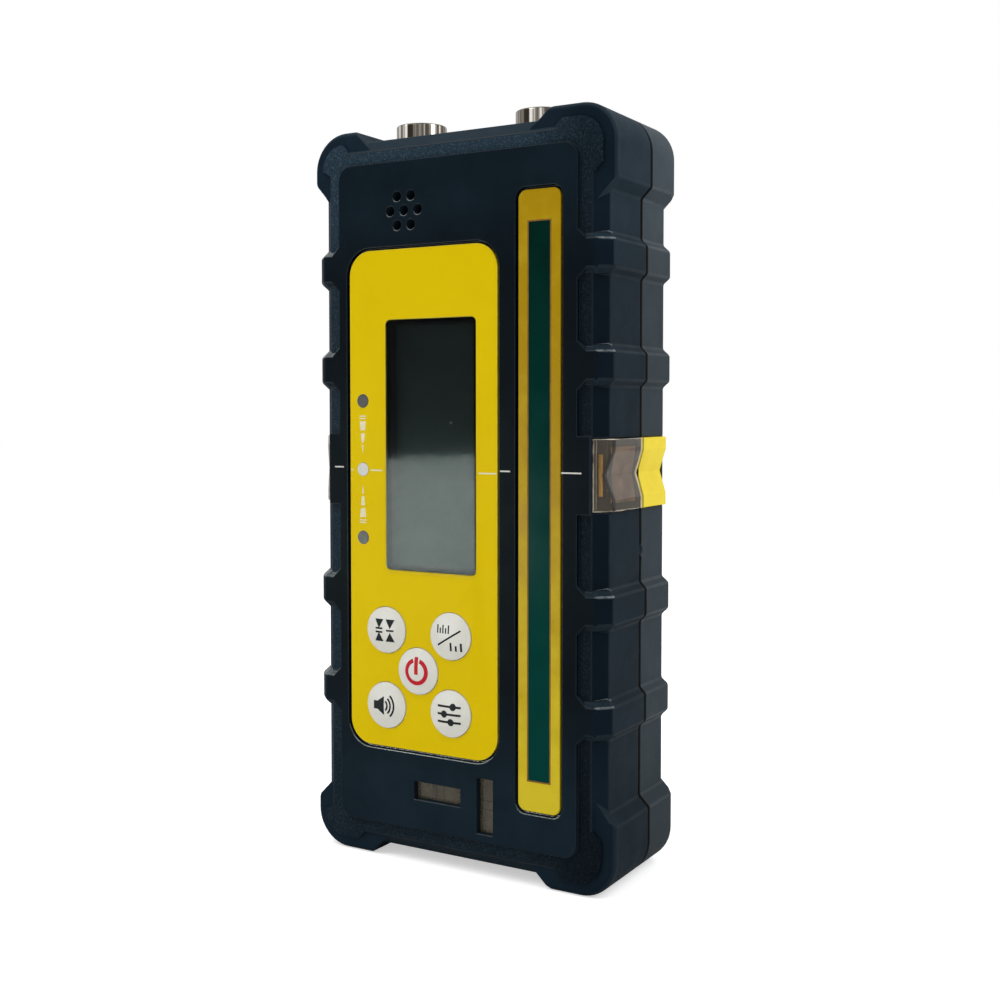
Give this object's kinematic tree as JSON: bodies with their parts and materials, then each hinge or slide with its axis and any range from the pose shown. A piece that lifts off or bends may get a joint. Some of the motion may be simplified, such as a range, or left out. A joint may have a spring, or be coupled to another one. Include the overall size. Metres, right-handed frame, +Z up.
{
  "type": "laser receiver",
  "caption": "Upright hand-held laser receiver with corner bumpers, ribbed sides, a long reception window, display, round keys and a hinged battery door.",
  "frame": {"origin": "under the middle of the receiver, on the surface that its lower bumpers stand on", "axes": "+Z up, +X to the right of someone facing the display, -Y out of the display, +Y out of the back"},
  "size_m": [0.0834, 0.0368, 0.1794],
  "materials": {
    "front_shell": "satin black moulded panel with grained band and sides",
    "rear_shell": "grained black moulding",
    "seal_rubber": "matte black",
    "screw_steel": "zinc plated",
    "clear_block": "clear smoky moulding",
    "yellow_block": "semi-gloss yellow",
    "nickel": "bright nickel plate",
    "overlay_yellow": "printed yellow film, satin",
    "display_window": "dark clear window",
    "display": "dark display",
    "frame_white": "matte white",
    "key_white": "satin white",
    "part_black": "matte black",
    "lamp_lens": "milky lens",
    "lamp": "milky lamp",
    "frame_yellow": "semi-gloss yellow",
    "filter_green": "dark green filter",
    "board_green": "green board",
    "ribbon": "pale ribbon",
    "vial_clear": "clear block",
    "spirit": "pale spirit",
    "plug": "matte plug",
    "door_plastic": "grained black moulding",
    "brass": "plain brass",
    "cell": "sleeved cell",
    "contact": "nickel plated strip"
  },
  "bodies": {
    "case": {"front_housing": "front_shell", "rear_housing": "rear_shell", "case_gasket": "seal_rubber", "case_screws": "screw_steel", "side_lens_left": "clear_block", "side_lens_right": "clear_block", "side_index_left": "yellow_block", "side_index_right": "yellow_block", "magnet_left": "nickel", "magnet_right": "nickel", "keypad_overlay": "overlay_yellow", "lcd_window": "display_window", "lcd_panel": "display", "lcd_frame": "frame_white", "key_switches": "part_black", "status_leds": "lamp", "led_lenses": "lamp_lens", "sensor_frame": "frame_yellow", "sensor_window": "filter_green", "sensor_board": "board_green", "photodiodes": "part_black", "main_board": "board_green", "board_ribbon": "ribbon", "board_screws": "screw_steel", "speaker_membrane": "seal_rubber", "buzzer": "part_black", "vial_lying": "vial_clear", "vial_standing": "vial_clear", "vial_spirit": "spirit", "vial_plugs": "plug", "door_nut": "brass", "battery_left": "cell", "battery_right": "cell", "battery_contacts": "contact", "battery_posts": "brass", "clamp_insert": "brass"},
    "battery_door": {"battery_door": "door_plastic", "door_seal": "seal_rubber"},
    "door_screw": {"door_screw": "screw_steel"},
    "key_accuracy": {"key_accuracy": "key_white"},
    "key_units": {"key_units": "key_white"},
    "key_power": {"key_power": "key_white"},
    "key_sound": {"key_sound": "key_white"},
    "key_set": {"key_set": "key_white"}
  },
  "joints": [
    {"name": "key_accuracy_press", "type": "slide", "parent": "case", "child": "key_accuracy", "axis": [0, 1, 0], "range_m": [0, 0.0005], "stiffness_N_per_m": 2000},
    {"name": "key_units_press", "type": "slide", "parent": "case", "child": "key_units", "axis": [0, 1, 0], "range_m": [0, 0.0005], "stiffness_N_per_m": 2000},
    {"name": "key_power_press", "type": "slide", "parent": "case", "child": "key_power", "axis": [0, 1, 0], "range_m": [0, 0.0005], "stiffness_N_per_m": 2000},
    {"name": "key_sound_press", "type": "slide", "parent": "case", "child": "key_sound", "axis": [0, 1, 0], "range_m": [0, 0.0005], "stiffness_N_per_m": 2000},
    {"name": "key_set_press", "type": "slide", "parent": "case", "child": "key_set", "axis": [0, 1, 0], "range_m": [0, 0.0005], "stiffness_N_per_m": 2000},
    {"name": "door_swing", "type": "hinge", "parent": "case", "child": "battery_door", "pos_m": [0, 0.0184, 0.0185], "axis": [-1, 0, 0], "range_deg": [0, 90]},
    {"name": "door_screw_turn", "type": "hinge", "parent": "battery_door", "child": "door_screw", "pos_m": [0, 0.0184, 0.0854], "axis": [0, 1, 0], "continuous": true}
  ]
}
